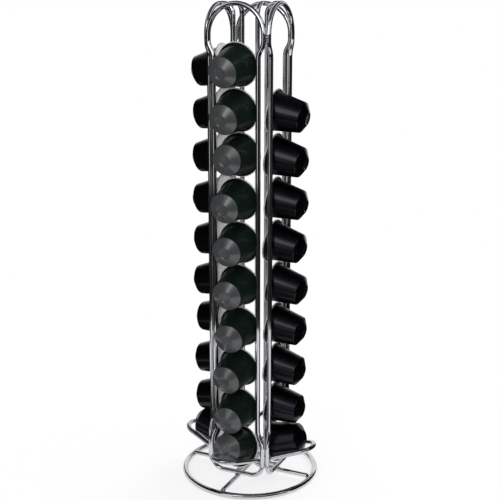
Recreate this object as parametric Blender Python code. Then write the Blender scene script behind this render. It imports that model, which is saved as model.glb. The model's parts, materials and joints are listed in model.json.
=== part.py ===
"""Coffee capsule dispenser: a square tower of chromed wire that holds four columns of capsules.

Each side of the tower has a bent wire frame whose two rails hold the capsules by their flanges, a rear
guide wire behind them, and a sloping wire shelf from which the lowest capsule is drawn. The four sides
stand on two crossing spokes inside a ring. Sizes are in metres and +Z is up. The origin is the middle
of the ring, on the surface that the ring rests on.

A side is drawn in a frame of its own, where X points out of the tower, Y runs across the side and Z is
up, and is then turned to face -Y (side a), -X (side b), +X (side c) or +Y (side d).
"""
import math

import bmesh
import bpy
from mathutils import Euler, Matrix, Vector

# Wire stock
RAIL_WIRE = 0.0040
GUIDE_WIRE = 0.0040
SHELF_WIRE = 0.0040
SPOKE_WIRE = 0.0040
RING_WIRE = 0.0050
SEAT_GAP = 0.0003

# Capsule, measured from the back of its lid
FLANGE_RADIUS = 0.0185
FLANGE_THICKNESS = 0.0014
FLANGE_ROUNDING = 0.00045
FLANGE_WIDTH = 0.0021
BODY_TAPER = 0.0039
SHOULDER_DEPTH = 0.0260
NOSE_RADIUS = 0.0055
CAPSULE_DEPTH = 0.0303
DIMPLE_RIM_RADIUS = 0.0044
DIMPLE_RADIUS = 0.0036
DIMPLE_DEPTH = 0.0008

# How the capsules lie in a column
SLOTS = 10
DROOP = math.radians(8.5)
TIP_UP = math.radians(17.0)
FLANGE_LAP = 0.0003
SIDE_PLAY = 0.0012
SIDE_SHIFT = 0.0012
SIDE_TURN = math.radians(4.5)

# Tower in plan
FRAME_DISTANCE = 0.0270
GUIDE_DISTANCE = 0.0150
RING_RADIUS = 0.0577

# Front frame, from its foot up
CORNER_RADIUS = 0.0105
BAY_HEIGHT = 0.0251
FLARE_RUN = 0.0190
NECK_RUN = 0.0140
LOOP_STRAIGHT = 0.0042
LOOP_RISE = 0.0228

# Rear guide bends
GUIDE_TOP_BEND = 0.0085
GUIDE_FOOT_BEND = 0.0055

# Shelf
SHELF_RISE = 0.0145
SHELF_SLOPE = math.radians(16.5)
SHELF_REACH = 0.0599
SHELF_TIP_RADIUS = 0.0118
SHELF_INSET = 0.0020

# Spokes
SPOKE_RISE = 0.0021
HUMP_RUN = 0.0110

# Fineness of round shapes
WIRE_BEVEL_STEPS = 2
CORNER_STEPS = 5
BEND_STEPS = 3
LOOP_STEPS = 16
GUIDE_BEND_STEPS = 5
SHELF_TIP_STEPS = 10
RING_SIDES = 12
RING_STEPS = 48
CAPSULE_STEPS = 16
SMOOTH_ANGLE = math.radians(35.0)

SIDE_TURNS = {"a": -90.0, "b": 180.0, "c": 0.0, "d": 90.0}

# Capsules lie loose, so each leans its own way: from the top, its droop in degrees and its sideways share
DROOPS = {
    "a": (11.5, 12.5, 3.0, 8.5, 7.1, 7.5, 9.0, 9.7, 9.6),
    "b": (12.0, 11.0, 12.0, 11.0, 12.5, 12.0, 7.5, 11.5, 10.5),
    "c": (11.0, 11.0, 10.0, 10.0, 11.5, 10.5, 10.0, 8.5),
}
LEAN_SHARES = {
    "a": (-0.8, -0.65, -0.05, -0.55, -0.05, 0.0, 0.4, -0.4, 0.05),
    "b": (0.3, -0.4, 0.1, 0.5, -0.2, 0.4, -0.5, 0.2, 0.0),
    "c": (0.4, -0.3, 0.2, -0.5, 0.3, 0.0, -0.2, 0.3),
}

# Sizes and places worked out from the sizes above
body_radius = FLANGE_RADIUS - FLANGE_WIDTH
shoulder_radius = body_radius - BODY_TAPER
ring_height = RING_WIRE / 2
spoke_height = ring_height + SPOKE_RISE
spoke_top = spoke_height + SPOKE_WIRE / 2
foot_height = spoke_top + SEAT_GAP + RAIL_WIRE / 2
guide_foot_height = spoke_top + SEAT_GAP + GUIDE_WIRE / 2
shelf_height = foot_height + SHELF_RISE
rail_half = body_radius + SIDE_PLAY + RAIL_WIRE / 2
loop_half = FRAME_DISTANCE - (RAIL_WIRE + SEAT_GAP) / math.sqrt(2)
guide_face = GUIDE_DISTANCE + GUIDE_WIRE / 2
frame_inner_face = FRAME_DISTANCE - RAIL_WIRE / 2


def capsule_profile():
    """Depth from the lid and radius of each edge of the capsule, from the lid round to the dimple."""
    return [
        (0.0, FLANGE_RADIUS - FLANGE_ROUNDING),
        (FLANGE_ROUNDING, FLANGE_RADIUS),
        (FLANGE_THICKNESS - FLANGE_ROUNDING, FLANGE_RADIUS),
        (FLANGE_THICKNESS, FLANGE_RADIUS - FLANGE_ROUNDING),
        (FLANGE_THICKNESS, body_radius),
        (SHOULDER_DEPTH, shoulder_radius),
        (CAPSULE_DEPTH, NOSE_RADIUS),
        (CAPSULE_DEPTH, DIMPLE_RIM_RADIUS),
        (CAPSULE_DEPTH - DIMPLE_DEPTH, DIMPLE_RADIUS),
    ]


def arc(centre, radius, start, end, steps):
    """Points along a circular arc, both ends included."""
    angles = [start + (end - start) * step / steps for step in range(steps + 1)]
    return [(centre[0] + radius * math.cos(a), centre[1] + radius * math.sin(a)) for a in angles]


def side_step(start, end, steps):
    """Points of two equal opposite bends that carry an upright wire sideways from start to end."""
    run = end[1] - start[1]
    shift = end[0] - start[0]
    radius = (run ** 2 + shift ** 2) / (4 * abs(shift))
    angle = 2 * math.atan2(abs(shift), run)
    way = math.copysign(1.0, shift)
    first = [(start[0] + way * radius * (1 - math.cos(angle * i / steps)),
              start[1] + radius * math.sin(angle * i / steps)) for i in range(steps + 1)]
    second = [(end[0] - (x - start[0]), end[1] - (y - start[1])) for x, y in reversed(first[:-1])]
    return first + second


def material(name, colour, metallic, roughness):
    """A Principled material with one colour."""
    made = bpy.data.materials.new(name)
    made.use_nodes = True
    shader = made.node_tree.nodes["Principled BSDF"]
    shader.inputs["Base Color"].default_value = (*colour, 1.0)
    shader.inputs["Metallic"].default_value = metallic
    shader.inputs["Roughness"].default_value = roughness
    return made


def place(obj, turn=0.0):
    """Link an object to the scene, turned about the tower's axis."""
    obj.rotation_euler = (0.0, 0.0, turn)
    bpy.context.scene.collection.objects.link(obj)
    return obj


def wire_shape(name, points, diameter, closed, finish):
    """A wire of round section swept along points, with flat ends where it is open."""
    shape = bpy.data.curves.new(name, "CURVE")
    shape.dimensions = "3D"
    shape.bevel_depth = diameter / 2
    shape.bevel_resolution = WIRE_BEVEL_STEPS
    shape.use_fill_caps = not closed
    shape.resolution_u = 1
    shape.render_resolution_u = 0
    line = shape.splines.new("POLY")
    line.points.add(len(points) - 1)
    for target, point in zip(line.points, points):
        target.co = (*point, 1.0)
    line.use_cyclic_u = closed
    shape.materials.append(finish)
    return shape


def wire(name, points, diameter, closed, finish, turn=0.0):
    """A wire object of its own."""
    return place(bpy.data.objects.new(name, wire_shape(name, points, diameter, closed, finish)), turn)


def frame_outline(loop_height):
    """One closed wire: foot, flared bay, straight rails, neck and loading loop, as (across, height)."""
    flare_start = foot_height + BAY_HEIGHT
    flare_end = flare_start + FLARE_RUN
    neck_end = loop_height - LOOP_STRAIGHT
    neck_start = neck_end - NECK_RUN
    corner = (loop_half - CORNER_RADIUS, foot_height + CORNER_RADIUS)
    right = arc(corner, CORNER_RADIUS, -math.pi / 2, 0.0, CORNER_STEPS)
    right += side_step((loop_half, flare_start), (rail_half, flare_end), BEND_STEPS)
    right += side_step((rail_half, neck_start), (loop_half, neck_end), BEND_STEPS)
    top = arc((0.0, loop_height), loop_half, 0.0, math.pi, LOOP_STEPS)
    left = [(-across, height) for across, height in reversed(right)]
    return right + top + left


def front_frame(side, loop_height, finish):
    """The bent wire that holds one column by the flanges of its capsules."""
    points = [(FRAME_DISTANCE, across, height) for across, height in frame_outline(loop_height)]
    return wire("front_frame_" + side, points, RAIL_WIRE, True, finish, side_turn(side))


def rear_guide(side, crest_height, finish):
    """The upright wire behind a column, bent out to the crest and to the foot of its frame."""
    end = frame_inner_face - SEAT_GAP
    foot_centre = (GUIDE_DISTANCE + GUIDE_FOOT_BEND, guide_foot_height + GUIDE_FOOT_BEND)
    top_centre = (GUIDE_DISTANCE + GUIDE_TOP_BEND, crest_height - GUIDE_TOP_BEND)
    path = [(end, guide_foot_height)]
    path += arc(foot_centre, GUIDE_FOOT_BEND, -math.pi / 2, -math.pi, GUIDE_BEND_STEPS)
    path += arc(top_centre, GUIDE_TOP_BEND, math.pi, math.pi / 2, GUIDE_BEND_STEPS)
    path += [(end, crest_height)]
    points = [(out, 0.0, height) for out, height in path]
    return wire("rear_guide_" + side, points, GUIDE_WIRE, False, finish, side_turn(side))


def shelf_outline():
    """Half of the shelf in its own plane, as (distance out from the frame, half width).

    The leg is a straight line that touches the tip's arc and runs close beside the flared rail.
    """
    tip_centre = (SHELF_REACH - FRAME_DISTANCE) / math.cos(SHELF_SLOPE) - SHELF_TIP_RADIUS
    beside_rail = (RAIL_WIRE + SHELF_WIRE) / 2 + SEAT_GAP
    span = math.hypot(loop_half, tip_centre)
    taper = math.acos((SHELF_TIP_RADIUS + beside_rail) / span) - math.atan2(tip_centre, loop_half)
    half_at_frame = (SHELF_TIP_RADIUS + tip_centre * math.sin(taper)) / math.cos(taper)
    start = (-SHELF_INSET, half_at_frame + SHELF_INSET * math.tan(taper))
    half_arc = math.pi / 2 - taper
    return [start] + arc((tip_centre, 0.0), SHELF_TIP_RADIUS, half_arc, 0.0, SHELF_TIP_STEPS // 2)


def shelf_points():
    """The whole shelf wire in the side's frame, from one leg round the tip to the other."""
    half = shelf_outline()
    outline = half + [(out, -across) for out, across in reversed(half[:-1])]
    return [(FRAME_DISTANCE + out * math.cos(SHELF_SLOPE), across,
             shelf_height + out * math.sin(SHELF_SLOPE)) for out, across in outline]


def shelf(side, finish):
    """The sloping loop of wire that the lowest capsule lies in."""
    return wire("shelf_" + side, shelf_points(), SHELF_WIRE, False, finish, side_turn(side))


def spokes(finish):
    """Two crossing wires inside the ring: one straight, one humped over it."""
    end = RING_RADIUS - RING_WIRE / 2 - SEAT_GAP
    straight = [(-end, 0.0, spoke_height), (end, 0.0, spoke_height)]
    hump = spoke_height + SPOKE_WIRE + SEAT_GAP
    rise = side_step((spoke_height, -HUMP_RUN), (hump, 0.0), BEND_STEPS)
    half = [(-end, 0.0, spoke_height)] + [(along, 0.0, height) for height, along in rise]
    humped = half + [(-along, 0.0, height) for along, _, height in reversed(half[:-1])]
    wire("spoke_ad", straight, SPOKE_WIRE, False, finish, math.pi / 2)
    wire("spoke_bc", humped, SPOKE_WIRE, False, finish)


def base_ring(finish):
    """The wire ring that the tower stands on, with a flat underneath."""
    corner = RING_WIRE / 2 / math.cos(math.pi / RING_SIDES)
    shape = bpy.data.meshes.new("base_ring")
    build = bmesh.new()
    corners = []
    for step in range(RING_SIDES):
        angle = 2 * math.pi * (step + 1 / 2) / RING_SIDES
        out = RING_RADIUS + corner * math.cos(angle)
        corners.append(build.verts.new((out, 0.0, ring_height + corner * math.sin(angle))))
    section = [build.edges.new((corners[i - 1], corners[i])) for i in range(RING_SIDES)]
    bmesh.ops.spin(build, geom=corners + section, axis=(0.0, 0.0, 1.0), cent=(0.0, 0.0, 0.0),
                   angle=2 * math.pi, steps=RING_STEPS, use_merge=True)
    finish_mesh(build, shape, finish)
    place(bpy.data.objects.new("base_ring", shape))


def finish_mesh(build, shape, finish):
    """Turn the faces outwards, shade round stretches smooth and give the mesh its material."""
    bmesh.ops.recalc_face_normals(build, faces=build.faces)
    build.to_mesh(shape)
    build.free()
    shape.shade_smooth()
    shape.set_sharp_from_angle(angle=SMOOTH_ANGLE)
    shape.materials.append(finish)


def capsule_mesh(name, finish):
    """A capsule turned about its own X axis, with its lid at zero and its nose pointing out."""
    shape = bpy.data.meshes.new(name)
    build = bmesh.new()
    edge = [build.verts.new((depth, 0.0, radius)) for depth, radius in capsule_profile()]
    side = [build.edges.new(pair) for pair in zip(edge, edge[1:])]
    bmesh.ops.spin(build, geom=edge + side, axis=(1.0, 0.0, 0.0), cent=(0.0, 0.0, 0.0),
                   angle=2 * math.pi, steps=CAPSULE_STEPS, use_merge=True)
    rims = [e for e in build.edges if e.is_boundary]
    bmesh.ops.holes_fill(build, edges=rims, sides=CAPSULE_STEPS)
    finish_mesh(build, shape, finish)
    return shape


def radius_at(depth):
    """Outer radius of the capsule at a depth from its lid, and the cosine of its slope there."""
    edges = capsule_profile()
    for (near, near_radius), (far, far_radius) in zip(edges, edges[1:]):
        if near <= depth <= far and far > near:
            share = (depth - near) / (far - near)
            slope = math.atan2(near_radius - far_radius, far - near)
            return near_radius + share * (far_radius - near_radius), math.cos(slope)
    return None


def shelf_clearance(out, height):
    """Least gap between the shelf's wire and a tipped-up capsule with its lid's middle at (out, height)."""
    tip = Euler((0.0, -TIP_UP, 0.0)).to_matrix().transposed()
    middle = Vector((out, 0.0, height))
    points = [Vector(p) for p in shelf_points()]
    gap = FLANGE_RADIUS
    for start, end in zip(points, points[1:]):
        for step in range(LOOP_STEPS):
            local = tip @ (start.lerp(end, step / LOOP_STEPS) - middle)
            here = radius_at(local.x)
            if here:
                reach = math.hypot(local.y, local.z)
                gap = min(gap, (reach - here[0]) * here[1] - SHELF_WIRE / 2)
    return gap


def lowest_seat():
    """Where the lowest capsule lies: its flange leans on the rear guide and its body on the shelf."""
    out = guide_face + SEAT_GAP + FLANGE_RADIUS * math.sin(TIP_UP)
    low = shelf_height
    high = shelf_height + FLANGE_RADIUS
    while high - low > SEAT_GAP / LOOP_STEPS ** 2:
        middle = (low + high) / 2
        if shelf_clearance(out, middle) < SEAT_GAP:
            low = middle
        else:
            high = middle
    return out, high


def flange_half_height(tilt):
    """How far the flange reaches above or below its middle when the capsule is tilted."""
    return FLANGE_RADIUS * math.cos(tilt) + FLANGE_THICKNESS * math.sin(tilt)


def stack_heights(lowest, droops):
    """Heights, from the top down, of capsules with these droops that stand on the lowest one."""
    heights = [lowest + flange_half_height(TIP_UP) + SEAT_GAP + flange_half_height(droops[-1])]
    for lower, upper in zip(droops[::-1], droops[-2::-1]):
        pitch = FLANGE_RADIUS * (math.cos(lower) + math.cos(upper)) - FLANGE_LAP
        heights.insert(0, heights[0] + pitch)
    return heights


def guide_bulge(aside):
    """How far the rear guide with its gap stands out from its middle line, at a distance to its side."""
    reach = GUIDE_WIRE / 2 + SEAT_GAP
    return math.sqrt(reach ** 2 - aside ** 2) if abs(aside) < reach else -reach


def seat_depth(tilt, turn, shift):
    """How far out a capsule's lid lies when its flange's lower edge leans on the guide behind it."""
    lean = Euler((0.0, tilt, turn)).to_matrix()
    depth = guide_face
    for step in range(CAPSULE_STEPS * CAPSULE_STEPS):
        angle = 2 * math.pi * step / CAPSULE_STEPS ** 2
        point = lean @ Vector((0.0, FLANGE_RADIUS * math.cos(angle), FLANGE_RADIUS * math.sin(angle)))
        depth = max(depth, GUIDE_DISTANCE + guide_bulge(point.y + shift) - point.x)
    return depth


def side_turn(side):
    """Angle about the tower's axis that turns a side to the way it faces."""
    return math.radians(SIDE_TURNS[side])


def carrier(name, side, seat):
    """An empty at the middle of a moving group's lowest lid, facing out of its side."""
    empty = bpy.data.objects.new(name, None)
    place(empty, side_turn(side))
    empty.location = Matrix.Rotation(side_turn(side), 3, "Z") @ seat
    empty.empty_display_size = FLANGE_RADIUS
    return empty


def capsule(name, shape, parent, offset, tilt, turn):
    """One capsule under its carrier."""
    obj = bpy.data.objects.new(name, shape)
    bpy.context.scene.collection.objects.link(obj)
    obj.parent = parent
    obj.location = offset
    obj.rotation_euler = (0.0, tilt, turn)
    return obj


def column(side, shape, lowest):
    """The capsules of one side: the lowest, the stack above it and the top one, each under its carrier."""
    first_slot = SLOTS - len(DROOPS[side])
    droops = [math.radians(droop) for droop in DROOPS[side]]
    tipped = Vector((lowest[0], 0.0, lowest[1]))
    pull = carrier("pull_" + side, side, tipped)
    capsule("capsule_%s%02d" % (side, SLOTS), shape, pull, Vector(), -TIP_UP, 0.0)
    seats = []
    for tilt, lean, height in zip(droops, LEAN_SHARES[side], stack_heights(lowest[1], droops)):
        turn = lean * SIDE_TURN
        shift = lean * SIDE_SHIFT
        seats.append((Vector((seat_depth(tilt, turn, shift), shift, height)), tilt, turn))
    load = carrier("load_" + side, side, seats[0][0])
    lift = carrier("lift_" + side, side, seats[-1][0])
    for index, (seat, tilt, turn) in enumerate(seats):
        parent, origin = (lift, seats[-1][0]) if index else (load, seats[0][0])
        name = "capsule_%s%02d" % (side, first_slot + index)
        capsule(name, shape, parent, seat - origin, tilt, turn)


def main():
    for old in list(bpy.data.objects):
        bpy.data.objects.remove(old)
    chrome = material("chromed_steel_wire", (0.78, 0.79, 0.80), 1.0, 0.12)
    green = material("capsule_green_black", (0.012, 0.020, 0.018), 0.6, 0.38)
    violet = material("capsule_violet_black", (0.008, 0.008, 0.014), 0.6, 0.38)
    lowest = lowest_seat()
    heights = stack_heights(lowest[1], [DROOP] * (SLOTS - 1))
    loop_height = heights[0] + LOOP_RISE
    crest_height = loop_height + loop_half
    base_ring(chrome)
    spokes(chrome)
    for side in SIDE_TURNS:
        front_frame(side, loop_height, chrome)
        rear_guide(side, crest_height, chrome)
        shelf(side, chrome)
    green_capsule = capsule_mesh("capsule_green", green)
    violet_capsule = capsule_mesh("capsule_violet", violet)
    for side in DROOPS:
        column(side, green_capsule if side == "a" else violet_capsule, lowest)
    print("lowest capsule (out, up), mm:", [round(1000 * x, 2) for x in lowest])
    print("slot heights, mm:", [round(1000 * x, 1) for x in heights])
    print("rail half spacing %.2f, loop half width %.2f, crest %.2f mm"
          % (1000 * rail_half, 1000 * loop_half, 1000 * crest_height))


main()
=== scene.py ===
# %% [markdown]
# # A wire tower for coffee capsules
# The real thing is bent from bright chromed wire: four looped frames welded corner to corner, a guide
# wire behind each column, four sloping shelves, and a ring with two crossing spokes to stand on. Its
# load is dark lacquered capsules that hang by their flanges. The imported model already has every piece
# at its real size and place. This lesson gives each one its fine surface and its finish.

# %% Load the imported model
import json
import math

import bpy
from mathutils import Matrix, Vector


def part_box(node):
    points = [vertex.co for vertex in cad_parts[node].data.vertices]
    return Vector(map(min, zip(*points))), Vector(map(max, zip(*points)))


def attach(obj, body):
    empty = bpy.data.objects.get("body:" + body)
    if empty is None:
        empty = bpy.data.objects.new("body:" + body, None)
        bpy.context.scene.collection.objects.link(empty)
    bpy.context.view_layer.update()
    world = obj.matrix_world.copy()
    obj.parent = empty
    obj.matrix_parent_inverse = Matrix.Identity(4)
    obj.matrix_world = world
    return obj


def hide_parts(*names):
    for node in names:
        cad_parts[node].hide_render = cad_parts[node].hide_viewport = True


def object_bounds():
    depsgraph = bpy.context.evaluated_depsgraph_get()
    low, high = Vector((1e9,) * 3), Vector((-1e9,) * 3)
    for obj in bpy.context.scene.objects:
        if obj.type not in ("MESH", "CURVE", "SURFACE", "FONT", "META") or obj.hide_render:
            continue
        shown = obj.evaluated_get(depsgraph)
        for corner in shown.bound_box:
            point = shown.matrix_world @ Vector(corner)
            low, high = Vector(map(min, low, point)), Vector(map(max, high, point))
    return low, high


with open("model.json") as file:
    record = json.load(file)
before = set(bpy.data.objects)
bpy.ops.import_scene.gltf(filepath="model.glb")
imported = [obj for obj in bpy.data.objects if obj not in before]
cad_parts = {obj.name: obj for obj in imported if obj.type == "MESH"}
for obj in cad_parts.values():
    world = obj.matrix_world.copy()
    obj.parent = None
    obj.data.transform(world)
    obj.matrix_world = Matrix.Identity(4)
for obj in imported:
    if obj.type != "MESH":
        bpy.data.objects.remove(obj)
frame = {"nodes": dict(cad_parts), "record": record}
cad_low, cad_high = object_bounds()
MM = 0.001
print("its box in millimetres:", [round(x / MM, 1) for x in (*cad_low, *cad_high)])

# %% [markdown]
# ## Sizes
# Every size is in metres, so a figure in millimetres is multiplied by MM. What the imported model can
# tell is read from it, so that the fine pieces lie exactly where the plain ones do. Side c faces +X,
# which makes it the handiest side to model: out of the tower is X, across the side is Y and up is Z.
# The other three sides are turned copies.

# %% Read the wire and the frame's lines from the model
frame_low, frame_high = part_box("front_frame_c")
wire_radius = (frame_high.x - frame_low.x) / 2
frame_out = (frame_high.x + frame_low.x) / 2
loop_half = frame_high.y - wire_radius
foot_z = frame_low.z + wire_radius
crest_z = frame_high.z - wire_radius
print("wire %.1f mm, loop half width %.2f mm, crest at %.1f mm"
      % (2 * wire_radius / MM, loop_half / MM, crest_z / MM))

# %% [markdown]
# ## Finishes
# Colours are written as they look on a screen and turned to the linear values that a shader needs.
# Nodes could be laid out by hand in the editor. Here one helper adds a node with its settings, its
# values and its links, so that a material reads from top to bottom and comes out the same each time.

# %% Colour and node helpers
def linear(code):
    """A screen colour such as #c8cacc as linear red, green, blue and alpha."""
    channels = [int(code[i:i + 2], 16) / 255 for i in (1, 3, 5)]
    return [c / 12.92 if c <= 0.04045 else ((c + 0.055) / 1.055) ** 2.4 for c in channels] + [1.0]


def add_node(tree, kind, inputs=None, **settings):
    """A node with its settings; an input is a value, or an output socket to link from."""
    made = tree.nodes.new(kind)
    for name, value in settings.items():
        setattr(made, name, value)
    for socket, value in (inputs or {}).items():
        if isinstance(value, bpy.types.NodeSocket):
            tree.links.new(value, made.inputs[socket])
        else:
            made.inputs[socket].default_value = value
    return made


def new_material(name):
    """An empty material, its node tree, its shader and its object coordinates."""
    made = bpy.data.materials.new(name)
    made.use_nodes = True
    tree = made.node_tree
    place = add_node(tree, "ShaderNodeTexCoord").outputs["Object"]
    return made, tree, tree.nodes["Principled BSDF"], place


print("screen grey #808080 is %.3f in linear light" % linear("#808080")[0])

# %% [markdown]
# ### One metal recipe
# Chrome, weld, lacquered cup, rolled edge and foil are all metal, and they differ in colour, haze and
# relief. Each could have nodes of its own, but one recipe keeps them alike where they should be. The
# colour drifts over some millimetres, as plating and lacquer do, and the haze drifts with it.

# %% A colour that drifts
NOISE_DETAIL = 2.0
MIX_FIRST = 6
MIX_SECOND = 7
MIX_RESULT = 2


def drifting(tree, place, patch_size, first, second):
    """A value that drifts over patches of this size, and a colour that drifts with it."""
    drift = add_node(tree, "ShaderNodeTexNoise",
                     {"Vector": place, "Scale": 1 / patch_size, "Detail": NOISE_DETAIL}).outputs["Fac"]
    colour = add_node(tree, "ShaderNodeMix",
                      {"Factor": drift, MIX_FIRST: linear(first), MIX_SECOND: linear(second)},
                      data_type="RGBA")
    return drift, colour.outputs[MIX_RESULT]


print("patches of 9 mm are noise of scale %.0f" % (1 / (9 * MM)))

# %% A metal finish
NOISE_LOW = 0.3
NOISE_HIGH = 0.7
RELIEF_STRENGTH = 0.5


def metal(name, colours, patch_size, haze, relief_size, relief_depth, metallic=1.0):
    """A metal whose colour and haze drift, with a shallow relief; sizes are in metres."""
    made, tree, shader, place = new_material(name)
    drift, colour = drifting(tree, place, patch_size, *colours)
    hazy = add_node(tree, "ShaderNodeMapRange",
                    {"Value": drift, "From Min": NOISE_LOW, "From Max": NOISE_HIGH,
                     "To Min": haze[0], "To Max": haze[1]})
    waves = add_node(tree, "ShaderNodeTexNoise",
                     {"Vector": place, "Scale": 1 / relief_size, "Detail": NOISE_DETAIL})
    relief = add_node(tree, "ShaderNodeBump",
                      {"Height": waves.outputs["Fac"], "Distance": relief_depth,
                       "Strength": RELIEF_STRENGTH})
    tree.links.new(colour, shader.inputs["Base Color"])
    tree.links.new(hazy.outputs["Result"], shader.inputs["Roughness"])
    tree.links.new(relief.outputs["Normal"], shader.inputs["Normal"])
    shader.inputs["Metallic"].default_value = metallic
    return made


print("noise from %.1f to %.1f is spread over a finish's whole haze" % (NOISE_LOW, NOISE_HIGH))

# %% Chromed wire
# Bright chrome plate on drawn steel wire: a mirror with a cool grey of its own, in which the eye sees
# the surroundings drawn out along the wire. The polish waves over some millimetres, so the lines waver.
chrome = metal("chromed_steel_wire", colours=("#c4c6cd", "#d2d2d3"), patch_size=9 * MM,
               haze=(0.04, 0.08), relief_size=5 * MM, relief_depth=0.02 * MM)
print("made", chrome.name)

# %% Chromed welds
# The same plate over metal that has melted and set: darker, hazier and pitted, so a joint reads as a
# dull knot between two bright wires.
weld_metal = metal("chromed_weld", colours=("#85868c", "#b0b0b4"), patch_size=2 * MM,
                   haze=(0.12, 0.24), relief_size=0.9 * MM, relief_depth=0.05 * MM)
print("made", weld_metal.name)

# %% [markdown]
# ### Lacquer on drawn metal
# A cup is drawn from aluminium sheet with a tinted lacquer on it. On side a, fine marks run round it
# and draw each highlight out along the cup. Bump lines could show them, but they would flicker at this
# size, so a map that runs round the cup tells the shader which way the marks lie. The end cone gets
# colours apart. On side a they are painted light: a paler grey for the front lamp that falls on the
# cone. A thin clear coat over the tint catches the small sharp glints.

# %% Where the end cone begins on the cup's map
capsule_depth = 30.3 * MM
shoulder_depth = 26.0 * MM
shoulder_radius = 12.5 * MM


def along_map(depth, radius):
    """How far a point of the cup's profile lies along the map, from the mouth to the nose."""
    return (depth - radius) / capsule_depth


shoulder_on_map = along_map(shoulder_depth, shoulder_radius)
print("the end cone begins at %.4f on the map" % shoulder_on_map)

# %% A lacquer finish
SHOULDER_BLUR = 0.01
END_PATCH = 4 * MM


def lacquer(name, body_colours, end_colours, haze, end_haze, metallic, end_metallic, brushed):
    """A tinted metal under a clear coat; the end cone has haze and metal of its own, and colours apart
    that are painted lighter where a lamp falls on it.
    """
    made = metal(name, body_colours, patch_size=7 * MM, haze=haze,
                 relief_size=0.6 * MM, relief_depth=0.01 * MM, metallic=metallic)
    tree = made.node_tree
    shader = tree.nodes["Principled BSDF"]
    body_colour = shader.inputs["Base Color"].links[0].from_socket
    body_haze = shader.inputs["Roughness"].links[0].from_socket

    on_map = add_node(tree, "ShaderNodeUVMap", uv_map="turning").outputs["UV"]
    spot = add_node(tree, "ShaderNodeSeparateXYZ", {"Vector": on_map})
    on_end = add_node(tree, "ShaderNodeMapRange",
                      {"Value": spot.outputs["X"], "From Min": shoulder_on_map - SHOULDER_BLUR,
                       "From Max": shoulder_on_map + SHOULDER_BLUR}).outputs["Result"]

    place = add_node(tree, "ShaderNodeTexCoord").outputs["Object"]
    # On side a the end colours are painted light: a paler grey for the front lamp on the cone.
    end_colour = drifting(tree, place, END_PATCH, *end_colours)[1]
    colour = add_node(tree, "ShaderNodeMix",
                      {"Factor": on_end, MIX_FIRST: body_colour, MIX_SECOND: end_colour},
                      data_type="RGBA")
    tree.links.new(colour.outputs[MIX_RESULT], shader.inputs["Base Color"])

    all_haze = add_node(tree, "ShaderNodeMath", {0: on_end, 1: end_haze, 2: body_haze},
                        operation="MULTIPLY_ADD")
    tree.links.new(all_haze.outputs["Value"], shader.inputs["Roughness"])
    if end_metallic != metallic:
        share = add_node(tree, "ShaderNodeMapRange",
                         {"Value": on_end, "To Min": metallic, "To Max": end_metallic})
        tree.links.new(share.outputs["Result"], shader.inputs["Metallic"])

    round_the_cup = add_node(tree, "ShaderNodeTangent", direction_type="UV_MAP", uv_map="turning")
    tree.links.new(round_the_cup.outputs["Tangent"], shader.inputs["Tangent"])
    shader.inputs["Anisotropic"].default_value = brushed
    shader.inputs["Specular IOR Level"].default_value = 0.12
    shader.inputs["Coat Weight"].default_value = 0.2
    shader.inputs["Coat Roughness"].default_value = 0.07
    return made


print("colour and haze change over %.1f mm at the shoulder" % (2 * SHOULDER_BLUR * capsule_depth / MM))

# %% Green-black capsules
# Satin lacquer of a very dark green: the body drinks the light, and only a soft glow on its upper side
# shows that it is round. The end cone is the same lacquer, and its plain mid grey is painted light for
# the front lamp that falls on it, with one bright wedge. Part metal and part paint, it never turns
# quite black.
green_black = lacquer("green_black_lacquer",
                      body_colours=("#0c1914", "#14241e"), end_colours=("#545657", "#5c5d5e"),
                      haze=(0.50, 0.54), end_haze=-0.18,
                      metallic=0.4, end_metallic=0.6, brushed=0.8)
print("made", green_black.name)

# %% Violet-black capsules
# Smoother and glossier lacquer, black with a trace of violet: one clear band of light lies along the
# body, and the rest is black.
violet_black = lacquer("violet_black_lacquer",
                       body_colours=("#1c1c22", "#222227"), end_colours=("#202025", "#28282c"),
                       haze=(0.34, 0.38), end_haze=-0.1,
                       metallic=1.0, end_metallic=1.0, brushed=0.0)
print("made", violet_black.name)

# %% Rolled edge
# Bare aluminium, where the sheet's cut edge is rolled back. The eye gets a thin pale line round the
# dark flange. As a full metal it would mirror the dark cards, so it is less than half metal.
rolled_edge = metal("bare_rolled_aluminium", colours=("#d2d0cf", "#e0dedc"), patch_size=4 * MM,
                    haze=(0.22, 0.34), relief_size=1.2 * MM, relief_depth=0.02 * MM, metallic=0.4)
print("made", rolled_edge.name)

# %% Foil lid
# Aluminium foil with a white sealing lacquer, slightly crumpled by the sealing: a pale matt disc with
# a faint shine, of which only slivers show between the capsules.
foil = metal("foil_lid", colours=("#ebebea", "#f3f2f0"), patch_size=6 * MM,
             haze=(0.35, 0.50), relief_size=2.5 * MM, relief_depth=0.12 * MM, metallic=0.15)
print("made", foil.name)

# %% [markdown]
# ## Bending wire
# A wire bender feeds straight wire and bends it round pins. A curve with a round bevel would look much
# the same. Here the mesh itself is bent as the wire is: its round section is drawn, pulled along for a
# straight run, and spun round a pin's centre for a bend, so each bend has the radius that it says.

# %% Directions, and how finely a wire is bent
OUT = (1, 0, 0)
IN = (-1, 0, 0)
ACROSS = (0, 1, 0)
BACK_ACROSS = (0, -1, 0)
UP = (0, 0, 1)
QUARTER = math.radians(90.0)
WIRE_SIDES = 24
STEP_ANGLE = math.radians(6.0)
print("a quarter bend takes", math.ceil(QUARTER / STEP_ANGLE), "steps of", WIRE_SIDES, "faces")

# %% Helpers for bends and cut ends
CUT_ROUNDING = 0.35 * MM


def side_step(run, shift):
    """The radius and angle of two equal opposite bends that carry a wire sideways."""
    radius = (run ** 2 + shift ** 2) / (4 * shift)
    return radius, 2 * math.atan2(shift, run)


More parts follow.
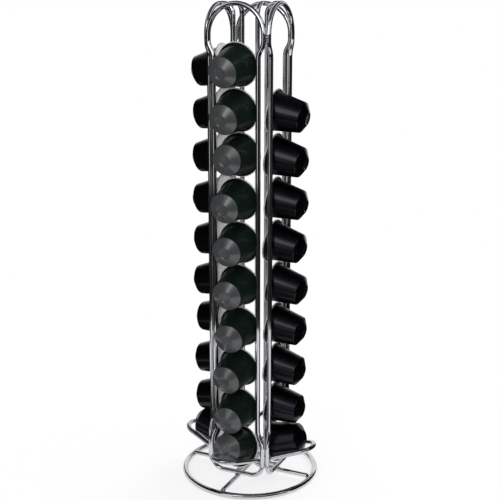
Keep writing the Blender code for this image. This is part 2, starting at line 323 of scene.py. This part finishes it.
def round_cut_end():
    """Closes the open end that is selected, with the small rounding that a cut wire gets in tumbling."""
    bpy.ops.mesh.edge_face_add()
    bpy.ops.mesh.bevel(offset=CUT_ROUNDING, segments=3, affect="EDGES")


print("cut ends are rounded by %.2f mm" % (CUT_ROUNDING / MM))

# %% Trace a wire
def trace_wire(name, start, heading, moves, radius=wire_radius, capped=False):
    """Carries a round section along straight runs (a length) and bends (radius, angle, axis)."""
    bpy.ops.object.select_all(action="DESELECT")
    place = Vector(start)
    heading = Vector(heading)
    bpy.ops.mesh.primitive_circle_add(vertices=WIRE_SIDES, radius=radius, location=place,
                                      rotation=heading.to_track_quat("Z", "Y").to_euler())
    wire = bpy.context.object
    wire.name = name
    bpy.ops.object.transform_apply(location=True, rotation=True, scale=True)
    bpy.ops.object.mode_set(mode="EDIT")
    bpy.ops.mesh.select_all(action="SELECT")
    for move in moves:
        if isinstance(move, float):
            bpy.ops.mesh.extrude_region_move(TRANSFORM_OT_translate={"value": heading * move})
            place = place + heading * move
            continue
        bend_radius, angle, axis = move
        pin = place + bend_radius * Vector(axis).cross(heading)
        steps = max(2, math.ceil(angle / STEP_ANGLE))
        bpy.ops.mesh.spin(steps=steps, angle=-angle, center=pin, axis=axis)
        turn = Matrix.Rotation(angle, 3, Vector(axis))
        place = pin + turn @ (place - pin)
        heading = turn @ heading
    if capped:
        round_cut_end()
    bpy.ops.object.mode_set(mode="OBJECT")
    print(name, "ends at", [round(x / MM, 2) for x in place], "mm")
    return wire


print("a wire is", round(2 * wire_radius / MM, 1), "mm thick unless it says otherwise")

# %% Helpers that finish a piece
SHARP_ANGLE = math.radians(35.0)
SEAM_REACH = 0.05 * MM


def mirror_half(piece, axis):
    """Doubles a half piece across the tower's middle and welds the halves."""
    mirror = piece.modifiers.new("other half", "MIRROR")
    mirror.use_axis = [axis == name for name in "XYZ"]
    mirror.merge_threshold = SEAM_REACH
    bpy.ops.object.modifier_apply(modifier=mirror.name)


def finish_piece(piece, finish):
    """Turns the faces outwards, shades the round stretches smooth and gives the piece its finish."""
    bpy.ops.object.select_all(action="DESELECT")
    piece.select_set(True)
    bpy.context.view_layer.objects.active = piece
    bpy.ops.object.mode_set(mode="EDIT")
    bpy.ops.mesh.select_all(action="SELECT")
    bpy.ops.mesh.normals_make_consistent(inside=False)
    bpy.ops.object.mode_set(mode="OBJECT")
    bpy.ops.object.shade_smooth_by_angle(angle=SHARP_ANGLE)
    even = piece.modifiers.new("even shading", "WEIGHTED_NORMAL")
    even.keep_sharp = True
    bpy.ops.object.modifier_apply(modifier=even.name)
    piece.data.materials.append(finish)


def put_in(piece, body, plain=None):
    """Lets a finished piece ride on its body, and stand for its plain piece."""
    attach(piece, body)
    if plain:
        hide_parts(plain)


print("edges of more than %.0f degrees stay sharp" % math.degrees(SHARP_ANGLE))

# %% Helpers that set a piece on all four sides
SIDE_TURNS = {"a": -90.0, "b": 180.0, "c": 0.0, "d": 90.0}


def turned_copy(model, name, turn):
    """A copy of a side-c piece with a mesh of its own, turned about the tower's axis."""
    bpy.ops.object.select_all(action="DESELECT")
    model.select_set(True)
    bpy.context.view_layer.objects.active = model
    bpy.ops.object.duplicate()
    piece = bpy.context.object
    piece.name = name
    piece.rotation_euler.z = math.radians(turn)
    bpy.ops.object.transform_apply(location=True, rotation=True, scale=True)
    return piece


def set_round(model, name, plain):
    """Puts a side-c wire on all four sides, each in place of its plain piece."""
    for side, turn in SIDE_TURNS.items():
        piece = turned_copy(model, name + side, turn)
        put_in(piece, "tower", plain + side)
    bpy.data.objects.remove(model)


print("side c is turned by", SIDE_TURNS, "degrees")

# %% [markdown]
# ## The looped frame
# One closed wire holds a column. From its foot it rises into a bay that is wide enough for a tipped
# flange, narrows through a flare to the two rails that the flanges slide behind, and opens at the top
# through a neck into the loop where a capsule goes in. The whole outline could be traced in one go.
# Half of it, from the middle of the foot to the middle of the crest, and a mirror make sure that both
# rails are alike.

# %% Bend the looped frame
corner_radius = 10.5 * MM
bay_height = 25.1 * MM
flare_run = 19.0 * MM
rail_half = 19.6 * MM
neck_run = 14.0 * MM
loop_straight = 4.2 * MM
flare_radius, flare_angle = side_step(flare_run, loop_half - rail_half)
neck_radius, neck_angle = side_step(neck_run, loop_half - rail_half)
rail_length = crest_z - loop_half - loop_straight - neck_run - (foot_z + bay_height + flare_run)

looped_frame = trace_wire("looped_frame", (frame_out, 0, foot_z), ACROSS, [
    loop_half - corner_radius,
    (corner_radius, QUARTER, OUT),
    bay_height - corner_radius,
    (flare_radius, flare_angle, OUT),
    (flare_radius, flare_angle, IN),
    rail_length,
    (neck_radius, neck_angle, IN),
    (neck_radius, neck_angle, OUT),
    loop_straight,
    (loop_half, QUARTER, OUT)])
mirror_half(looped_frame, "Y")
finish_piece(looped_frame, chrome)
set_round(looped_frame, "looped_frame_", "front_frame_")
print("rail length %.1f mm" % (rail_length / MM))

# %% [markdown]
# ## The guide wire
# Behind each column stands one wire that the lids slide along. It is bent out at both ends and butted
# to the frame, at the middle of its foot and at its crest. Three straight pieces joined at corners
# would be simpler, but the bends catch the light, so it is traced as one wire.

# %% Bend the guide wire
guide_low, guide_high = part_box("rear_guide_c")
guide_out = guide_low.x + wire_radius
guide_end = guide_high.x
guide_height = crest_z - foot_z
guide_foot_bend = 5.5 * MM
guide_top_bend = 8.5 * MM

guide_wire = trace_wire("guide_wire", (guide_end, 0, foot_z), IN, [
    guide_end - guide_out - guide_foot_bend,
    (guide_foot_bend, QUARTER, ACROSS),
    guide_height - guide_foot_bend - guide_top_bend,
    (guide_top_bend, QUARTER, ACROSS),
    guide_end - guide_out - guide_top_bend])
finish_piece(guide_wire, chrome)
set_round(guide_wire, "guide_wire_", "rear_guide_")
print("guide stands %.1f mm behind its frame" % ((frame_out - guide_out) / MM))

# %% [markdown]
# ## The shelf
# The lowest capsule lies in a sloping hairpin of wire. Its legs start beside the flared rails and
# close towards a round tip. It could be traced in its sloping plane, but flat bends are easier to work
# out, so half of it is bent flat, mirrored, tilted up and moved to the frame.

# %% Work out the hairpin
# A leg touches the round tip at one end and lies beside the frame's wire at the other.
seat_gap = 0.3 * MM
touching = 2 * wire_radius + seat_gap
shelf_slope = math.radians(16.5)
shelf_tip_radius = 11.8 * MM
shelf_inset = 2.0 * MM
shelf_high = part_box("shelf_c")[1]
shelf_reach = shelf_high.x - wire_radius

tip_centre = (shelf_reach - frame_out) / math.cos(shelf_slope) - shelf_tip_radius
span = math.hypot(loop_half, tip_centre)
taper = math.acos((shelf_tip_radius + touching) / span) - math.atan2(tip_centre, loop_half)
half_at_frame = (shelf_tip_radius + tip_centre * math.sin(taper)) / math.cos(taper)
tip_turn = QUARTER - taper
leg_start = Vector((tip_centre + shelf_tip_radius * math.cos(tip_turn),
                    shelf_tip_radius * math.sin(tip_turn)))
leg_end = Vector((-shelf_inset, half_at_frame + shelf_inset * math.tan(taper)))
leg_length = (leg_end - leg_start).length
print("shelf legs %.1f mm long, %.1f degrees apart" % (leg_length / MM, 2 * math.degrees(taper)))

# %% Bend the shelf flat
shelf_wire = trace_wire("shelf_wire", (tip_centre + shelf_tip_radius, 0, 0), ACROSS, [
    (shelf_tip_radius, tip_turn, UP),
    leg_length], capped=True)
mirror_half(shelf_wire, "Y")
print("flat shelf has", len(shelf_wire.data.polygons), "faces")

# %% Tilt the shelf and set it on the four sides
shelf_rise = 14.5 * MM
shelf_z = foot_z + shelf_rise
shelf_wire.rotation_euler.y = -shelf_slope
shelf_wire.location = (frame_out, 0, shelf_z)
bpy.ops.object.transform_apply(location=True, rotation=True, scale=True)
finish_piece(shelf_wire, chrome)
set_round(shelf_wire, "shelf_wire_", "shelf_")
print("shelves meet their frames %.1f mm up" % (shelf_z / MM))

# %% [markdown]
# ## Ring and spokes
# The foot is a ring of thicker wire, rolled and welded shut. A torus would give its shape, but the
# tracer already bends a full turn. Two spokes cross inside it: one is straight, and the other humps
# over it by one wire's thickness, so that both can carry the frames at the same height.

# %% Roll the ring
SAME_POINT = 0.005 * MM
ring_low, ring_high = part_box("base_ring")
ring_wire_radius = (ring_high.z - ring_low.z) / 2
ring_radius = ring_high.x - ring_wire_radius

ring = trace_wire("foot_ring", (ring_radius, 0, ring_wire_radius), ACROSS, [
    (ring_radius, 2 * math.pi, UP)], radius=ring_wire_radius)
bpy.ops.object.mode_set(mode="EDIT")
bpy.ops.mesh.select_all(action="SELECT")
bpy.ops.mesh.remove_doubles(threshold=SAME_POINT)
bpy.ops.object.mode_set(mode="OBJECT")
finish_piece(ring, chrome)
put_in(ring, "tower", "base_ring")
print("ring has", len(ring.data.polygons), "faces")

# %% Straighten one spoke
spoke_low, spoke_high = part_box("spoke_ad")
spoke_z = (spoke_high.z + spoke_low.z) / 2
spoke_end = spoke_high.y

straight_spoke = trace_wire("straight_spoke", (0, 0, spoke_z), ACROSS, [spoke_end], capped=True)
mirror_half(straight_spoke, "Y")
finish_piece(straight_spoke, chrome)
put_in(straight_spoke, "tower", "spoke_ad")
print("spokes are %.1f mm long" % (2 * spoke_end / MM))

# %% Hump the other spoke over it
hump_run = 11.0 * MM
hump_radius, hump_angle = side_step(hump_run, touching)

humped_spoke = trace_wire("humped_spoke", (0, 0, spoke_z + touching), OUT, [
    (hump_radius, hump_angle, ACROSS),
    (hump_radius, hump_angle, BACK_ACROSS),
    spoke_end - hump_run], capped=True)
mirror_half(humped_spoke, "X")
finish_piece(humped_spoke, chrome)
put_in(humped_spoke, "tower", "spoke_bc")
print("hump bends by %.1f degrees at a radius of %.1f mm" % (math.degrees(hump_angle), hump_radius / MM))

# %% [markdown]
# ## Welds
# The wires are resistance welded before plating, so each joint is a small swelling with the same
# chrome over it. The wires' meshes could be merged there, but each has to stay a piece of its own. So
# a ball is pulled to the joint's size, made uneven as melted metal is, smoothed, and set between them.

# %% Shape a weld bead
UNEVENNESS = 0.14 * MM


def weld_bead(name, place, half_sizes):
    """A small uneven swelling of melted metal."""
    bpy.ops.object.select_all(action="DESELECT")
    bpy.ops.mesh.primitive_uv_sphere_add(segments=20, ring_count=12, radius=1.0, location=place,
                                         scale=half_sizes)
    bead = bpy.context.object
    bead.name = name
    bpy.ops.object.transform_apply(location=True, rotation=True, scale=True)
    bpy.ops.object.mode_set(mode="EDIT")
    bpy.ops.mesh.select_all(action="SELECT")
    bpy.ops.transform.vertex_random(offset=UNEVENNESS, normal=1.0, seed=5)
    bpy.ops.mesh.vertices_smooth(factor=0.5, repeat=1)
    bpy.ops.object.mode_set(mode="OBJECT")
    finish_piece(bead, weld_metal)
    return bead


print("a bead is uneven by up to %.2f mm" % (UNEVENNESS / MM))

# %% List the welds of side c and set them on the four sides
# Each line gives a joint's middle, and half the bead's size along X, Y and Z in millimetres.
corner = (frame_out + loop_half) / 2
beside_rail = loop_half - touching / 2
guide_butt = guide_end + seat_gap / 2
spoke_butt = spoke_end + seat_gap / 2
spoke_droop = 0.6 * MM
welds = {
    "loops": ((corner, corner, crest_z - loop_half - loop_straight / 2), (1.7, 1.7, 2.3)),
    "bays": ((corner, corner, foot_z + (corner_radius + bay_height) / 2), (1.3, 1.3, 3.0)),
    "crest": ((guide_butt, 0, crest_z), (1.1, 2.3, 2.0)),
    "foot": ((guide_butt, 0, foot_z), (1.1, 2.3, 2.2)),
    "shelf_left": ((frame_out, beside_rail, shelf_z), (2.4, 1.1, 1.3)),
    "shelf_right": ((frame_out, -beside_rail, shelf_z), (2.4, 1.1, 1.3)),
    "spoke": ((spoke_butt, 0, spoke_z - spoke_droop), (1.3, 2.3, 1.9)),
    "foot_on_spoke": ((frame_out, 0, foot_z - touching / 2), (1.9, 1.9, 0.8)),
}
for name, (place, half_sizes) in welds.items():
    bead = weld_bead("weld", place, [size * MM for size in half_sizes])
    for side, turn in SIDE_TURNS.items():
        put_in(turned_copy(bead, "weld_%s_%s" % (name, side), turn), "tower")
    bpy.data.objects.remove(bead)
hub = weld_bead("weld_hub", (0, 0, spoke_z + touching / 2), [1.9 * MM, 1.9 * MM, 0.8 * MM])
put_in(hub, "tower")
print(len(SIDE_TURNS) * len(welds) + 1, "welds, the last where the spokes cross")

# %% [markdown]
# ## A capsule
# A capsule is drawn from thin aluminium: a tapered cup with a short end cone and a dimpled nose, whose
# flange is rolled into a bead. The lacquer wraps the front of the roll, and the bare metal shows as a
# pale outline round it. Between roll and body lies a shallow web. A foil lid is sealed over the mouth.
# A cylinder and a cone could be joined, but a profile that is spun about the X axis, with the lid at
# zero and the nose pointing out, gives every edge its true place. The edges are then rounded.

# %% Capsule sizes
flange_low, flange_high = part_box("capsule_a10")
flange_radius = (flange_high.x - flange_low.x) / 2
flange_thickness = 1.4 * MM
body_radius = 16.4 * MM
nose_radius = 5.5 * MM
dimple_rim = 4.4 * MM
dimple_radius = 3.6 * MM
dimple_depth = 0.5 * MM
bead_radius = 0.60 * MM
bead_place = Vector((bead_radius + 0.07 * MM, 0, flange_radius - bead_radius - 0.03 * MM))
roll_radius = bead_place.z - 0.05 * MM
roll_inner = body_radius + 0.95 * MM
roll_depth = flange_thickness - 0.02 * MM
web_depth = 1.0 * MM
web_outer = roll_inner - 0.2 * MM
print("flange %.1f mm across, nose %.1f mm out" % (2 * flange_radius / MM, capsule_depth / MM))

# %% Trace a profile and turn it
TURN_STEPS = 64


def trace_profile(name, points):
    """Draws a profile of (depth, radius) points, by pulling one vertex from point to point."""
    bpy.ops.object.select_all(action="DESELECT")
    bpy.ops.mesh.primitive_plane_add(size=MM)
    piece = bpy.context.object
    piece.name = name
    bpy.ops.object.mode_set(mode="EDIT")
    bpy.ops.mesh.select_mode(type="VERT")
    bpy.ops.mesh.select_all(action="SELECT")
    bpy.ops.mesh.merge(type="CENTER")
    bpy.ops.transform.translate(value=(points[0][0], 0, points[0][1]))
    for (depth, radius), (next_depth, next_radius) in zip(points, points[1:]):
        step = (next_depth - depth, 0, next_radius - radius)
        bpy.ops.mesh.extrude_region_move(TRANSFORM_OT_translate={"value": step})
    return piece


def turn_profile(piece):
    """Spins what is drawn once round the X axis and welds its seam."""
    bpy.ops.mesh.select_all(action="SELECT")
    bpy.ops.mesh.spin(steps=TURN_STEPS, angle=2 * math.pi, center=(0, 0, 0), axis=OUT)
    bpy.ops.mesh.select_all(action="SELECT")
    bpy.ops.mesh.remove_doubles(threshold=SAME_POINT)
    bpy.ops.object.mode_set(mode="OBJECT")


print("a turned piece has", TURN_STEPS, "faces round")

# %% Round an edge of a turned piece
ON_THE_RING = 0.01 * MM


def round_ring(piece, depth, radius, rounding, segments):
    """Rounds the edge ring of a turned piece that lies at this depth and radius."""
    bpy.ops.object.mode_set(mode="EDIT")
    bpy.ops.mesh.select_mode(type="EDGE")
    bpy.ops.mesh.select_all(action="DESELECT")
    bpy.ops.object.mode_set(mode="OBJECT")
    on_ring = [abs(v.co.x - depth) < ON_THE_RING
               and abs(math.hypot(v.co.y, v.co.z) - radius) < ON_THE_RING
               for v in piece.data.vertices]
    for edge in piece.data.edges:
        edge.select = on_ring[edge.vertices[0]] and on_ring[edge.vertices[1]]
    bpy.ops.object.mode_set(mode="EDIT")
    bpy.ops.mesh.bevel(offset=rounding, segments=segments, affect="EDGES")
    bpy.ops.object.mode_set(mode="OBJECT")


print("an edge is found to within %.2f mm" % (ON_THE_RING / MM))

# %% Turn the cup
cup = trace_profile("cup", [
    (bead_place.x, roll_radius),
    (roll_depth, roll_radius),
    (roll_depth, roll_inner),
    (web_depth, web_outer),
    (web_depth, body_radius),
    (shoulder_depth, shoulder_radius),
    (capsule_depth, nose_radius),
    (capsule_depth, dimple_rim),
    (capsule_depth - dimple_depth, dimple_radius),
    (capsule_depth - dimple_depth, 0)])
turn_profile(cup)
round_ring(cup, roll_depth, roll_radius, rounding=0.1 * MM, segments=2)
round_ring(cup, roll_depth, roll_inner, rounding=0.2 * MM, segments=3)
round_ring(cup, web_depth, body_radius, rounding=0.6 * MM, segments=4)
round_ring(cup, shoulder_depth, shoulder_radius, rounding=0.5 * MM, segments=3)
round_ring(cup, capsule_depth, nose_radius, rounding=0.5 * MM, segments=3)
round_ring(cup, capsule_depth, dimple_rim, rounding=0.4 * MM, segments=3)
round_ring(cup, capsule_depth - dimple_depth, dimple_radius, rounding=0.3 * MM, segments=2)
finish_piece(cup, green_black)
print("cup has", len(cup.data.polygons), "faces")

# %% Lay a map round the cup
turning = cup.data.uv_layers.new(name="turning")
for face in cup.data.polygons:
    towards = math.atan2(face.center.z, face.center.y)
    for corner_index in face.loop_indices:
        spot = cup.data.vertices[cup.data.loops[corner_index].vertex_index].co
        round_by = math.remainder(math.atan2(spot.z, spot.y) - towards, 2 * math.pi)
        turning.data[corner_index].uv = (along_map(spot.x, math.hypot(spot.y, spot.z)),
                                         (towards + round_by) / (2 * math.pi))
print("mapped", len(turning.data), "corners")

# %% Roll the flange's bead
bpy.ops.object.select_all(action="DESELECT")
bpy.ops.mesh.primitive_circle_add(vertices=16, radius=bead_radius, location=bead_place,
                                  rotation=(QUARTER, 0, 0))
rim = bpy.context.object
rim.name = "rim"
bpy.ops.object.transform_apply(location=True, rotation=True, scale=True)
bpy.ops.object.mode_set(mode="EDIT")
turn_profile(rim)
finish_piece(rim, rolled_edge)
print("rolled bead has", len(rim.data.polygons), "faces")

# %% Seal the lid
# The foil is flat where it is sealed to the flange, pressed in a little inside the mouth, and bulges
# back towards its middle. Its cut edge is bent over the roll.
sealed_depth = 0.10 * MM
sealed_inner = 15.9 * MM
pressed_depth = 0.45 * MM
pressed_radius = 15.3 * MM
bulge_depth = 0.30 * MM
bulge_radius = 8.0 * MM
middle_depth = 0.25 * MM
foil_radius = bead_place.z - 0.4 * MM
cut_depth = 0.25 * MM
cut_width = 0.2 * MM
lid = trace_profile("lid", [
    (cut_depth, foil_radius),
    (sealed_depth, foil_radius - cut_width),
    (sealed_depth, sealed_inner),
    (pressed_depth, pressed_radius),
    (bulge_depth, bulge_radius),
    (middle_depth, 0)])
turn_profile(lid)
round_ring(lid, sealed_depth, sealed_inner, rounding=0.2 * MM, segments=2)
round_ring(lid, pressed_depth, pressed_radius, rounding=0.25 * MM, segments=2)
finish_piece(lid, foil)
print("lid has", len(lid.data.polygons), "faces")

# %% [markdown]
# ## Filling the tower
# Each capsule leans its own way, as loose capsules do. The leans could be listed here again, but the
# plain model holds them, so each fine capsule takes its place from its plain one's lid: the flat's
# middle, the way it faces, and up.

# %% Find where a plain capsule lies
SAME_WAY = 0.9999


def lid_place(node):
    """The matrix that carries a capsule modelled along X to where a plain one lies."""
    faces = frame["nodes"][node].data.polygons
    back = max(faces, key=lambda face: face.area).normal.copy()
    flat = [face for face in faces if face.normal.dot(back) > SAME_WAY]
    middle = sum((face.center * face.area for face in flat), Vector()) / sum(face.area for face in flat)
    out = -back
    across = Vector(UP).cross(out).normalized()
    turn = Matrix((out, across, out.cross(across))).transposed()
    return Matrix.Translation(middle) @ turn.to_4x4()


def placed_copy(model, name, place):
    """A copy with a mesh of its own, carried to its place."""
    piece = turned_copy(model, name, 0.0)
    piece.data.transform(place)
    return piece


print("capsule_a10 lies at", [round(x / MM, 1) for x in lid_place("capsule_a10").translation], "mm")

# %% Put a fine capsule in each plain one's place
filled = 0
for body, nodes in frame["record"]["behaviour"]["bodies"].items():
    for node in nodes:
        if not node.startswith("capsule_"):
            continue
        place = lid_place(node)
        kind = node[len("capsule_"):]
        finish, slot = ((green_black, "green_black_capsule") if kind[0] == "a"
                        else (violet_black, "violet_black_capsule"))
        fine_cup = placed_copy(cup, "cup_" + kind, place)
        fine_cup.data.materials[0] = finish
        put_in(fine_cup, body, node)
        put_in(placed_copy(rim, "rim_" + kind, place), body, node)
        put_in(placed_copy(lid, "lid_" + kind, place), body, node)
        filled += 1
for model in (cup, rim, lid):
    bpy.data.objects.remove(model)
print("filled", filled, "places")

# %% [markdown]
# ## Floor and background
# The tower stands on a pale table that fades into white. More light would whiten the floor, but it
# would bleach the tower too. So the floor glows by itself, fully from some way out, and near the ring
# it keeps a share of plain paint that takes the tower's shadow. The world is white to look at and to
# mirror, and a little dimmer as a light.

# %% Floor that fades to white
# Matt white board: no shine, only the soft shadow. The last of its paint is gone 0.3 m out.
FLOOR_RADIUS = 1.5
FADE_START = 0.06
FADE_END = 0.30
GLOW_AT_RING = 0.75
pale, floor_tree, floor_shader, floor_place = new_material("pale_floor")
floor_shader.inputs["Base Color"].default_value = linear("#fafafa")
floor_shader.inputs["Roughness"].default_value = 0.9
from_middle = add_node(floor_tree, "ShaderNodeVectorMath", {0: floor_place},
                       operation="LENGTH").outputs["Value"]
glow_share = add_node(floor_tree, "ShaderNodeMapRange",
                      {"Value": from_middle, "From Min": FADE_START, "From Max": FADE_END,
                       "To Min": GLOW_AT_RING, "To Max": 1.0}, interpolation_type="SMOOTHSTEP")
glow = add_node(floor_tree, "ShaderNodeEmission", {"Color": linear("#ffffff"), "Strength": 1.0})
floor_mix = add_node(floor_tree, "ShaderNodeMixShader",
                     {"Fac": glow_share.outputs["Result"], 1: floor_shader.outputs["BSDF"],
                      2: glow.outputs["Emission"]})
floor_end = floor_tree.nodes["Material Output"]
floor_tree.links.new(floor_mix.outputs["Shader"], floor_end.inputs["Surface"])

bpy.ops.object.select_all(action="DESELECT")
bpy.ops.mesh.primitive_circle_add(vertices=96, radius=FLOOR_RADIUS, fill_type="NGON",
                                  location=(0, 0, -0.02 * MM))
floor = bpy.context.object
floor.name = "floor"
floor.data.materials.append(pale)
print("floor is", 2 * FLOOR_RADIUS, "m across")

# %% World: white to look at, softer as a light
WORLD_LIGHT = 0.9
world = bpy.data.worlds.new("white_studio")
bpy.context.scene.world = world
world.use_nodes = True
sky = world.node_tree
looked_at = sky.nodes["Background"]
looked_at.inputs["Color"].default_value = linear("#ffffff")
looked_at.inputs["Strength"].default_value = 1.0
lighting = add_node(sky, "ShaderNodeBackground", {"Color": linear("#ffffff"), "Strength": WORLD_LIGHT})
rays = add_node(sky, "ShaderNodeLightPath")
seen = add_node(sky, "ShaderNodeMath",
                {0: rays.outputs["Is Camera Ray"], 1: rays.outputs["Is Glossy Ray"]},
                operation="MAXIMUM")
seen = add_node(sky, "ShaderNodeMath",
                {0: seen.outputs["Value"], 1: rays.outputs["Is Transmission Ray"]},
                operation="MAXIMUM")
sky_mix = add_node(sky, "ShaderNodeMixShader",
                   {"Fac": seen.outputs["Value"], 1: lighting.outputs["Background"],
                    2: looked_at.outputs["Background"]})
sky.links.new(sky_mix.outputs["Shader"], sky.nodes["World Output"].inputs["Surface"])
print("world lights the tower with a strength of", WORLD_LIGHT)

# %% [markdown]
# ## Lamps and cards
# A soft lamp in front, a little to the left, lays the band of light along each dark cup, and one behind
# lifts the far side. Chrome has no look of its own: it shows what stands round it, and in an all-white
# room it would vanish. So dark cards stand to the left, right, front and rear, a slate one hangs
# overhead, and dark ones lie on the table round the tower. They give the wires their dark edges, and
# a dark table further out darkens the rails from some way up, while low down the rails mirror the white
# table. Black flags held in front of the lamps could do it too, but they would shade the tower. These
# cards are seen by reflections alone.

# %% Two soft lamps
VIEW_AZIMUTH = 24.68
tower_middle = Vector((0, 0, (cad_low.z + cad_high.z) / 2))


def look_from(azimuth, elevation, distance):
    """A place seen from the tower's middle, and the turn that looks back at it."""
    around = math.radians(azimuth)
    up = math.radians(elevation)
    back = Vector((math.sin(around) * math.cos(up), -math.cos(around) * math.cos(up), math.sin(up)))
    return tower_middle + back * distance, back.to_track_quat("Z", "Y").to_euler()


def soft_lamp(name, azimuth, elevation, distance, width, height, power):
    """An oblong studio lamp that looks at the tower."""
    place, turn = look_from(azimuth, elevation, distance)
    bpy.ops.object.light_add(type="AREA", location=place, rotation=turn)
    lamp = bpy.context.object
    lamp.name = name
    lamp.data.shape = "RECTANGLE"
    lamp.data.size = width
    lamp.data.size_y = height
    lamp.data.energy = power
    lamp.visible_camera = False
    return lamp


front_lamp = soft_lamp("front_light", VIEW_AZIMUTH - 21, elevation=19, distance=1.6,
                       width=0.42, height=0.95, power=4.0)
back_lamp = soft_lamp("back_light", VIEW_AZIMUTH + 140, elevation=35, distance=1.2,
                      width=0.6, height=0.6, power=5.0)
back_lamp.visible_glossy = False
print("lamps of", front_lamp.data.energy, "and", back_lamp.data.energy, "watts look at a point",
      round(tower_middle.z / MM), "mm up")

# %% Card for the studio
# Matt card, black or slate, with the faint mottle of paper. The eye meets it only as dark stretches
# along the chrome.
def card_paper(name, colours):
    """Matt card of one colour."""
    made, tree, shader, place = new_material(name)
    mottled = drifting(tree, place, 40 * MM, *colours)[1]
    tree.links.new(mottled, shader.inputs["Base Color"])
    shader.inputs["Roughness"].default_value = 0.9
    return made


black = card_paper("black_card", ("#0c0c0f", "#101014"))
slate = card_paper("slate_card", ("#434755", "#4c505e"))
print("made", black.name, "and", slate.name)

# %% Cards that only reflections show
def only_reflected(card, name, finish):
    """Gives a piece of the studio its colour, and lets only reflections show it."""
    card.name = name
    card.data.materials.append(finish)
    card.visible_camera = False
    card.visible_diffuse = False
    card.visible_shadow = False


def flat_card(name, finish, place, turn, width, height):
    """A flat oblong card at a place."""
    bpy.ops.mesh.primitive_plane_add(size=1.0, location=place, rotation=turn)
    bpy.context.object.scale = (width, height, 1)
    only_reflected(bpy.context.object, name, finish)


print("cards leave the camera's view and the table's shade alone")

# %% Ways to set up a card
CARD_LIFT = 1.0 * MM


def standing_card(name, finish, azimuth, distance, width, bottom, top):
    """An upright card that faces the tower, from one height to another."""
    around = math.radians(azimuth)
    place = (distance * math.sin(around), -distance * math.cos(around), (bottom + top) / 2)
    flat_card(name, finish, place, (QUARTER, 0, around), width, top - bottom)


def hung_card(name, finish, azimuth, elevation, distance, width, height):
    """A card that hangs above and faces the tower's middle."""
    place, turn = look_from(azimuth, elevation, distance)
    flat_card(name, finish, place, turn, width, height)


def table_card(name, finish, azimuth, near, far, width):
    """A card that lies on the table and runs away from the tower."""
    around = math.radians(azimuth)
    middle = (near + far) / 2
    place = (middle * math.sin(around), -middle * math.cos(around), CARD_LIFT)
    flat_card(name, finish, place, (0, 0, around), width, far - near)


def table_ring(name, finish, near, far):
    """A flat ring on the table, all round the tower."""
    bpy.ops.object.select_all(action="DESELECT")
    bpy.ops.mesh.primitive_circle_add(vertices=96, radius=near, location=(0, 0, CARD_LIFT))
    bpy.ops.object.mode_set(mode="EDIT")
    bpy.ops.mesh.select_all(action="SELECT")
    bpy.ops.mesh.extrude_region_move()
    bpy.ops.transform.resize(value=(far / near, far / near, 1))
    bpy.ops.object.mode_set(mode="OBJECT")
    only_reflected(bpy.context.object, name, finish)


print("cards on the table lie %.0f mm above it" % (CARD_LIFT / MM))

# %% Cards round and above the tower
standing_card("card_left", black, VIEW_AZIMUTH - 97, distance=0.2, width=0.52, bottom=0.06, top=0.5)
standing_card("card_right", black, VIEW_AZIMUTH + 94, distance=0.2, width=0.27, bottom=0.0, top=0.5)
standing_card("card_front", black, VIEW_AZIMUTH + 17, distance=0.5, width=1.0, bottom=0.0, top=0.4)
hung_card("card_behind", black, VIEW_AZIMUTH + 160, elevation=35, distance=0.6, width=0.24, height=0.45)
hung_card("card_above", slate, VIEW_AZIMUTH, elevation=89.9, distance=1.2, width=2.2, height=2.2)
print("5 cards round and above the tower")

# %% Cards on the table
table_card("table_left", black, VIEW_AZIMUTH - 105, near=0.09, far=0.26, width=0.3)
table_card("table_front", black, VIEW_AZIMUTH - 33, near=0.1, far=0.4, width=0.12)
table_card("table_right", black, VIEW_AZIMUTH + 96, near=0.09, far=0.4, width=0.3)
table_card("table_behind_right", black, VIEW_AZIMUTH + 143, near=0.12, far=1.3, width=0.7)
table_ring("table_far", black, near=0.45, far=1.45)
print("4 cards and a ring on the table")

# %% [markdown]
# ## Camera
# The photograph was taken from about the height of the tower's top, looking slightly down, with side a
# in front and side c to the right. A camera could be nudged until it looks right. This one was worked
# out from where the rails, loops, ring and capsules lie in the picture, so that each piece of the model
# falls there too.

# %% Camera at the photograph's viewpoint
camera_distance = 811.2 * MM
camera_height = 404.3 * MM
camera_tilt = math.radians(13.99)
around = math.radians(VIEW_AZIMUTH)
camera = bpy.data.objects.new("camera", bpy.data.cameras.new("camera"))
bpy.context.scene.collection.objects.link(camera)
camera.data.sensor_width = 36.0
camera.data.lens = 70.84
camera.location = (camera_distance * math.sin(around), -camera_distance * math.cos(around),
                   camera_height)
camera.rotation_euler = (QUARTER - camera_tilt, 0, around)
bpy.context.scene.camera = camera
bpy.context.scene.view_settings.view_transform = "Standard"
print("camera stands %.0f mm away and %.0f mm up" % (camera_distance / MM, camera_height / MM))
